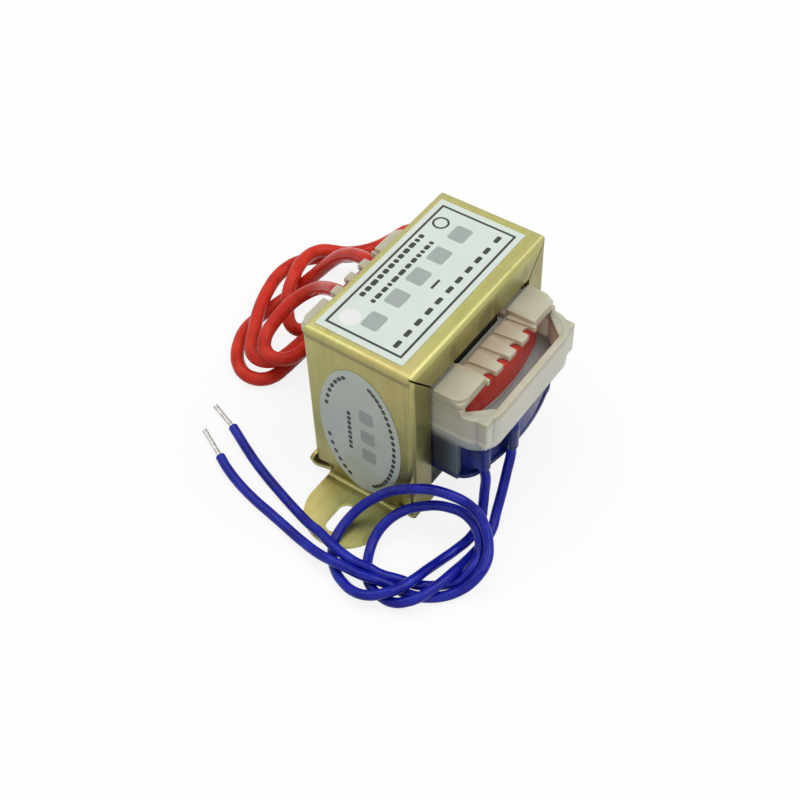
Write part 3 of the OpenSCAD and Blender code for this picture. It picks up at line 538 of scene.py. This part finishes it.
RED_ROUTE_B = [
    (0.2, 20.5, 23.8), (1.7, 23.4, 21.7), (3.1, 26.2, 19.4), (3.9, 29, 17.2), (3.8, 31.4, 15),
    (2.9, 33.4, 13), (1.3, 34.8, 11.3), (-0.6, 35.5, 10.1), (-2.7, 35.7, 9.2), (-4.8, 35.6, 8.4),
    (-6.6, 34.9, 7.8), (-7.9, 33.6, 7.3), (-8.3, 31.9, 6.9), (-7.7, 30.2, 6.6), (-6.3, 29, 6.3),
    (-4.4, 28.5, 6.1), (-1.5, 28.3, 6), (5.5, 27.3, 5.9), (12, 26, 5.9), (18, 24.6, 5.9),
    (24, 23.5, 5.8), (30, 22.8, 5.8), (33.5, 22.7, 5.85), (36.5, 23.4, 5.9), (38.6, 25, 6.1),
    (39.4, 27.2, 6.4), (38.7, 29.4, 6.6), (36.8, 30.9, 6.8), (34.4, 31.5, 7), (31.8, 32.1, 7),
    (29.3, 33, 7), (26.9, 34.4, 7), (24.9, 36.2, 7), (23.4, 38, 7.2), (22.4, 39.7, 7.5),
    (21.2, 41.2, 7.9), (19.3, 42.2, 8.3), (16.6, 42.4, 8.7), (13.4, 41.9, 8.8), (10.3, 40.9, 8.5),
    (7.7, 40, 7.7), (5.6, 38.9, 6.5), (4, 37.7, 5.4), (2.9, 36.4, 4.4), (2.8, 35.1, 3.5),
    (3.9, 34.1, 2.7), (5.9, 33.7, 2.1), (8.5, 33.5, 1.6), (12, 33.2, 1.4),
]


def centre_of_start(name, forward):
    """The middle of a CAD lead's first ring, where the wire leaves the object."""
    points = [v.co.copy() for v in node[name].data.vertices]
    if forward == "down":
        edge = max(p.z for p in points)
        ring = [p for p in points if abs(p.z - edge) < SAME_RING * MM]
    else:
        edge = min(p.y for p in points)
        ring = [p for p in points if abs(p.y - edge) < SAME_RING * MM]
    low = Vector([min(p[i] for p in ring) for i in range(3)])
    high = Vector([max(p[i] for p in ring) for i in range(3)])
    return (low + high) / 2


def add_lead(name, cad, route, diameter, finish, forward, tip=None, seed=1, also=()):
    start = centre_of_start(cad, forward)
    straight = Vector((0, 0, -0.7)) if forward == "down" else Vector((0, 2.6, 0))
    points = [start / MM, start / MM + straight, *map(Vector, route)]
    lead = bezier_lead(name, points, diameter, finish)
    end, before = Vector(points[-1]), Vector(points[-2])
    along = (end - before).normalized()
    tip = Vector(tip) if tip else end + along * 4.5
    wires = strands(name + "_bare_strands", end * MM, tip * MM, 5 if diameter < 2 else 2.5, seed)
    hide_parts(cad, *also)
    return wires


wires = add_lead("blue_lead_a_wire", "blue_lead_a", BLUE_ROUTE_A, THIN_LEAD, blue_insulation,
                 "down", (-26.55, 34.6, 0.62), 3)
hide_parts("blue_lead_a_tinned_end")
wires = add_lead("blue_lead_b_wire", "blue_lead_b", BLUE_ROUTE_B, THIN_LEAD, blue_insulation,
                 "down", (-20.6, 37.0, 0.62), 5)
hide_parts("blue_lead_b_tinned_end")
add_lead("red_lead_a_wire", "red_lead_a", RED_ROUTE_A, THICK_LEAD, red_insulation,
         "out", None, 7)
add_lead("red_lead_b_wire", "red_lead_b", RED_ROUTE_B, THICK_LEAD, red_insulation,
         "out", None, 9, ["red_lead_hank"])

# ---------------------------------------------------------------- solids


def mesh_copy(cad, name):
    data = node[cad].data.copy()
    piece = bpy.data.objects.new(name, data)
    scene.collection.objects.link(piece)
    work = bmesh.new()
    work.from_mesh(data)
    bmesh.ops.remove_doubles(work, verts=work.verts, dist=0.004 * MM)
    bmesh.ops.dissolve_limit(work, angle_limit=math.radians(1.5), verts=work.verts, edges=work.edges)
    bmesh.ops.recalc_face_normals(work, faces=work.faces)
    work.to_mesh(data)
    work.free()
    return piece


def soften(piece, width_mm, segments=2, angle=32, smooth=38):
    """Rounds the sharp edges a little, as bending and moulding leave them."""
    select_only(piece)
    bevel = piece.modifiers.new("edges", "BEVEL")
    bevel.width = width_mm * MM
    bevel.segments = segments
    bevel.limit_method = "ANGLE"
    bevel.angle_limit = math.radians(angle)
    bevel.use_clamp_overlap = True
    bpy.ops.object.modifier_apply(modifier="edges")
    bpy.ops.object.shade_smooth_by_angle(angle=math.radians(smooth))
    flats = piece.modifiers.new("flats", "WEIGHTED_NORMAL")
    flats.mode = "FACE_AREA"
    flats.weight = 60
    flats.keep_sharp = True
    bpy.ops.object.modifier_apply(modifier="flats")


def solid(cad, name, finish, slot, width_mm, segments=2, **settings):
    piece = mesh_copy(cad, name)
    soften(piece, width_mm, segments, **settings)
    dress(piece, finish)
    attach(piece, "root")
    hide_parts(cad)
    return piece


def corner_webs():
    """Upright webs across the front corners inside the shroud, level with its rim."""
    shroud = node["shroud_spool"].data.vertices
    front_wall = [v.co.z for v in shroud if v.co.y < TUB_FRONT * MM]
    rim = max(front_wall) - 0.02 * MM
    work = bmesh.new()
    for side in (-1, 1):
        plan = CORNER_WEB_PLAN[::-side]
        ends = [[work.verts.new((-side * x * MM, y * MM, z)) for x, y in plan]
                for z in (TUB_FLOOR * MM, rim)]
        work.faces.new(ends[1])
        work.faces.new(ends[0][::-1])
        for i in range(len(plan)):
            j = (i + 1) % len(plan)
            work.faces.new((ends[0][i], ends[0][j], ends[1][j], ends[1][i]))
    bmesh.ops.recalc_face_normals(work, faces=work.faces)
    data = bpy.data.meshes.new("shroud_corner_webs")
    work.to_mesh(data)
    work.free()
    piece = bpy.data.objects.new("shroud_corner_webs", data)
    scene.collection.objects.link(piece)
    soften(piece, 0.25, 3)
    dress(piece, nylon)
    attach(piece, "root")


def tie_band(first, second):
    """A paper tie drawn tight round two neighbouring runs of the red leads."""
    along = Vector((0.962, -0.272, 0))
    sideways = Vector((-along.y, along.x, 0))
    inner = THICK_LEAD / 2 + TIE_SLACK
    outer = inner + TIE_THICKNESS
    half = TIE_WIDTH / 2
    centres = [Vector(first), Vector(second)]
    step = centres[1] - centres[0]
    tilt = math.atan2(step.z, step.dot(sideways))
    work = bmesh.new()
    rings = []
    for radius, shift in ((inner, -half), (inner, half), (outer, half), (outer, -half)):
        ring = []
        for centre, start in ((centres[1], -90), (centres[0], 90)):
            for i in range(13):
                turn = tilt + math.radians(start + 15 * i)
                place = (centre + along * shift + sideways * (radius * math.cos(turn))
                         + Vector((0, 0, radius * math.sin(turn))))
                ring.append(work.verts.new(place * MM))
        rings.append(ring)
    for k, ring in enumerate(rings):
        other = rings[(k + 1) % 4]
        for i in range(len(ring)):
            j = (i + 1) % len(ring)
            work.faces.new((ring[i], ring[j], other[j], other[i]))
    bmesh.ops.recalc_face_normals(work, faces=work.faces)
    data = bpy.data.meshes.new("hank_tie_band")
    work.to_mesh(data)
    work.free()
    piece = bpy.data.objects.new("hank_tie_band", data)
    scene.collection.objects.link(piece)
    dress(piece, tie_paper)
    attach(piece, "root")
    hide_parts("hank_tie")


solid("mounting_bracket", "folded_bracket", steel, "plated_steel", 0.14)
solid("shroud_spool", "shroud_moulding", nylon, "nylon", 0.2, 3)
corner_webs()
solid("primary_spool", "primary_moulding", nylon, "nylon", 0.14, 2)
solid("primary_tape", "red_tape_wrap", red_tape, "red_tape", 0.3, 3)
solid("secondary_tape", "blue_tape_wrap", blue_tape, "blue_tape", 0.3, 3)
solid("secondary_joint_cover", "blue_joint_cover", blue_tape, "blue_tape", 0.1)
solid("secondary_joint_sleeves", "thin_joint_sleeves", sleeve_fibre, "sleeve", 0.06)
solid("primary_joint_sleeves", "thick_joint_sleeves", sleeve_fibre, "sleeve", 0.08)
tie_band(*TIE_ROUND)
solid("rating_label", "label_sheet", label_film, "label_film", 0.03)
solid("side_sticker", "sticker_sheet", sticker_film, "sticker_film", 0.03)
for name, finish in (("e_laminations", core_steel), ("i_laminations", core_steel),
                     ("primary_winding", red_tape), ("secondary_winding", copper)):
    node[name].data.materials.clear()
    node[name].data.materials.append(finish.material)

# ---------------------------------------------------------------- print, as plain shapes


class Print:
    """Flat raised shapes on one face, drawn in that face's own two directions."""

    def __init__(self, name, origin, right, up, lift_mm):
        self.name = name
        self.origin = Vector(origin) * MM
        self.right = Vector(right)
        self.up = Vector(up)
        self.out = self.right.cross(self.up)
        self.lift = lift_mm * MM
        self.mesh = bmesh.new()

    def place(self, x, y, lift):
        return self.origin + (self.right * x + self.up * y) * MM + self.out * lift

    def plate(self, outline):
        low = [self.mesh.verts.new(self.place(x, y, -self.lift)) for x, y in outline]
        high = [self.mesh.verts.new(self.place(x, y, self.lift)) for x, y in outline]
        count = len(outline)
        self.mesh.faces.new(high)
        self.mesh.faces.new(low[::-1])
        for i in range(count):
            j = (i + 1) % count
            self.mesh.faces.new((low[i], low[j], high[j], high[i]))

    def bar(self, x, y, length, width, turn=0.0):
        """A dash with round ends."""
        half, r, outline = length / 2 - width / 2, width / 2, []
        for i in range(12):
            a = -math.pi / 2 + math.pi * (i if i < 6 else i - 1) / 5
            cx = half if i < 6 else -half
            px, py = cx + r * math.cos(a), r * math.sin(a)
            outline.append((x + px * math.cos(turn) - py * math.sin(turn),
                            y + px * math.sin(turn) + py * math.cos(turn)))
        self.plate(outline)

    def frame_line(self, half_x, half_y, line):
        for x0, x1, y0, y1 in (
            (-half_x, half_x, half_y - line, half_y), (-half_x, half_x, -half_y, line - half_y),
            (-half_x, line - half_x, line - half_y, half_y - line),
            (half_x - line, half_x, line - half_y, half_y - line),
        ):
            self.plate([(x0, y0), (x1, y0), (x1, y1), (x0, y1)])

    def ring(self, x, y, outer, inner, count=28):
        for i in range(count):
            a, b = 2 * math.pi * i / count, 2 * math.pi * (i + 1) / count
            self.plate([(x + r * math.cos(t), y + r * math.sin(t))
                        for r, t in ((inner, a), (outer, a), (outer, b), (inner, b))])

    def disc(self, x, y, rx, ry, count=40):
        self.plate([(x + rx * math.cos(2 * math.pi * i / count),
                     y + ry * math.sin(2 * math.pi * i / count)) for i in range(count)])

    def finish(self, finish, slot):
        data = bpy.data.meshes.new(self.name)
        bmesh.ops.recalc_face_normals(self.mesh, faces=self.mesh.faces)
        self.mesh.to_mesh(data)
        self.mesh.free()
        piece = bpy.data.objects.new(self.name, data)
        scene.collection.objects.link(piece)
        dress(piece, finish)
        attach(piece, "root")
        return piece


def block(print_, x, y, width, height, corner=0.35):
    """A plain rounded field."""
    half_w, half_h, outline = width / 2 - corner, height / 2 - corner, []
    for cx, cy, first in ((half_w, half_h, 0), (-half_w, half_h, 90),
                          (-half_w, -half_h, 180), (half_w, -half_h, 270)):
        for k in range(4):
            a = math.radians(first + 30 * k)
            outline.append((x + cx + corner * math.cos(a), y + cy + corner * math.sin(a)))
    print_.plate(outline)


def dashes(print_, first, last, y, height, rng, long=1.7):
    x = first
    while x < last:
        width = rng.uniform(0.7, long)
        block(print_, x + width / 2, y, width, height, height * 0.3)
        x += width + 0.4


rng = random.Random(11)
LABEL_PLACE = (-0.25, 0.7, LABEL_TOP)
marks = Print("label_marks", LABEL_PLACE, (1, 0, 0), (0, 1, 0), 0.02)
marks.frame_line(17.85, 7.9, 0.45)
dashes(marks, -9.7, 8.2, 6.3, 1.0, rng)
dashes(marks, -9.9, 8.3, 3.8, 0.9, rng)
for x in (-15.5, -12.5, -9.4, -6.3, -3.3, 0, 2.9, 6, 9, 11.8, 15.3):
    block(marks, x, -5.5, 1.8, 0.9, 0.25)
block(marks, -0.2, -2.7, 2.6, 0.5, 0.2)
marks.ring(13.5, 5.4, 1.6, 1.2)
marks.finish(ink, None)
fields = Print("label_fields", LABEL_PLACE, (1, 0, 0), (0, 1, 0), 0.016)
for x in (-13.3, -6.6, -0.2, 6.2, 12.8):
    block(fields, x, 0.8, 3.9, 3.4, 0.5)
fields.finish(faded_ink, None)
pale = Print("label_rim", LABEL_PLACE, (1, 0, 0), (0, 1, 0), 0.012)
pale.disc(-14.8, 4.8, 1.9, 1.9)
pale.finish(paper_finish("white_film", (0.84, 0.85, 0.84), (0.80, 0.81, 0.80)), None)

STICKER_PLACE = (-STICKER_X, 0, STICKER_MIDDLE)
side_marks = Print("sticker_marks", STICKER_PLACE, (0, -1, 0), (0, 0, 1), 0.02)
for i in range(8):
    block(side_marks, -2.2, 12.6 + 1.3 * i - STICKER_MIDDLE, 0.8, 0.95, 0.2)
for first, last, count in ((-70, 68, 22), (112, 162, 7), (198, 246, 6)):
    for i in range(count):
        turn = math.radians(first + (last - first) * i / (count - 1))
        x, y = 7.35 * math.cos(turn), 14.1 * math.sin(turn)
        slope = math.atan2(14.1 * math.cos(turn), -7.35 * math.sin(turn))
        side_marks.bar(x, y, 1.15, 0.8, slope)
side_marks.finish(ink, None)
side_fields = Print("sticker_fields", STICKER_PLACE, (0, -1, 0), (0, 0, 1), 0.016)
for y, z in ((1.8, 12.4), (1.9, 17.4), (2.0, 22.6)):
    block(side_fields, 3.6 - y, z - STICKER_MIDDLE, 3.0, 3.3, 0.5)
side_fields.finish(faded_ink, None)

# ---------------------------------------------------------------- floor, lights and surroundings

FLOOR_WHITE = 0.84
WORLD_LIGHT = 0.42


def seen_directly(tree):
    """1 for camera, glossy and transmission rays, which show the pale surroundings."""
    path = tree.nodes.new("ShaderNodeLightPath")
    total = path.outputs["Is Camera Ray"]
    for ray in ("Is Glossy Ray", "Is Transmission Ray"):
        larger = tree.nodes.new("ShaderNodeMath")
        larger.operation = "MAXIMUM"
        tree.links.new(total, larger.inputs[0])
        tree.links.new(path.outputs[ray], larger.inputs[1])
        total = larger.outputs[0]
    return total


def floor_material():
    """Pale board that still takes the shadow."""
    f = Finish("studio_floor", Specular_IOR_Level=0.0)
    seen = seen_directly(f.tree)
    board = f.ramp(f.noise(3, 2, 0.5), (0.3, (0.50, 0.50, 0.50)), (0.7, (0.52, 0.52, 0.52)))
    f.colour(f.mix(seen, board, (1, 1, 1)))
    f.roughness(0.95)
    glow = f.tree.nodes.new("ShaderNodeEmission")
    both = f.tree.nodes.new("ShaderNodeMixShader")
    share = f.maths("MULTIPLY", seen, FLOOR_WHITE)
    f.tree.links.new(share, both.inputs["Fac"])
    f.tree.links.new(f.shader.outputs["BSDF"], both.inputs[1])
    f.tree.links.new(glow.outputs["Emission"], both.inputs[2])
    f.tree.links.new(both.outputs["Shader"], f.tree.nodes["Material Output"].inputs["Surface"])
    return f


def add_floor():
    mesh = bmesh.new()
    bmesh.ops.create_grid(mesh, x_segments=1, y_segments=1, size=3)
    data = bpy.data.meshes.new("floor")
    mesh.to_mesh(data)
    mesh.free()
    floor = bpy.data.objects.new("floor", data)
    scene.collection.objects.link(floor)
    floor.data.materials.append(floor_material().material)


def area_light(name, energy, size, place, target, colour=(1, 1, 1), size_y=None):
    data = bpy.data.lights.new(name, "AREA")
    data.energy = energy
    data.size = size
    if size_y:
        data.shape = "RECTANGLE"
        data.size_y = size_y
    data.color = colour
    lamp = bpy.data.objects.new(name, data)
    scene.collection.objects.link(lamp)
    lamp.location = place
    lamp.rotation_euler = (Vector(target) - Vector(place)).to_track_quat("-Z", "Y").to_euler()
    return lamp


def add_world():
    world = bpy.data.worlds.new("studio")
    scene.world = world
    world.use_nodes = True
    tree = world.node_tree
    back = tree.nodes["Background"]
    back.inputs["Color"].default_value = (1, 1, 1, 1)
    strength = tree.nodes.new("ShaderNodeMapRange")
    tree.links.new(seen_directly(tree), strength.inputs["Value"])
    strength.inputs["To Min"].default_value = WORLD_LIGHT
    strength.inputs["To Max"].default_value = 1.0
    tree.links.new(strength.outputs["Result"], back.inputs["Strength"])


add_floor()
add_world()
area_light("key", 2.0, 0.5, (0.18, -0.30, 0.62), (0, 0, 0.02))
area_light("fill", 0.45, 0.6, (-0.55, -0.25, 0.35), (0, 0, 0.02))
area_light("top", 1.1, 0.5, (0.0, 0.25, 0.6), (0, 0, 0.02))
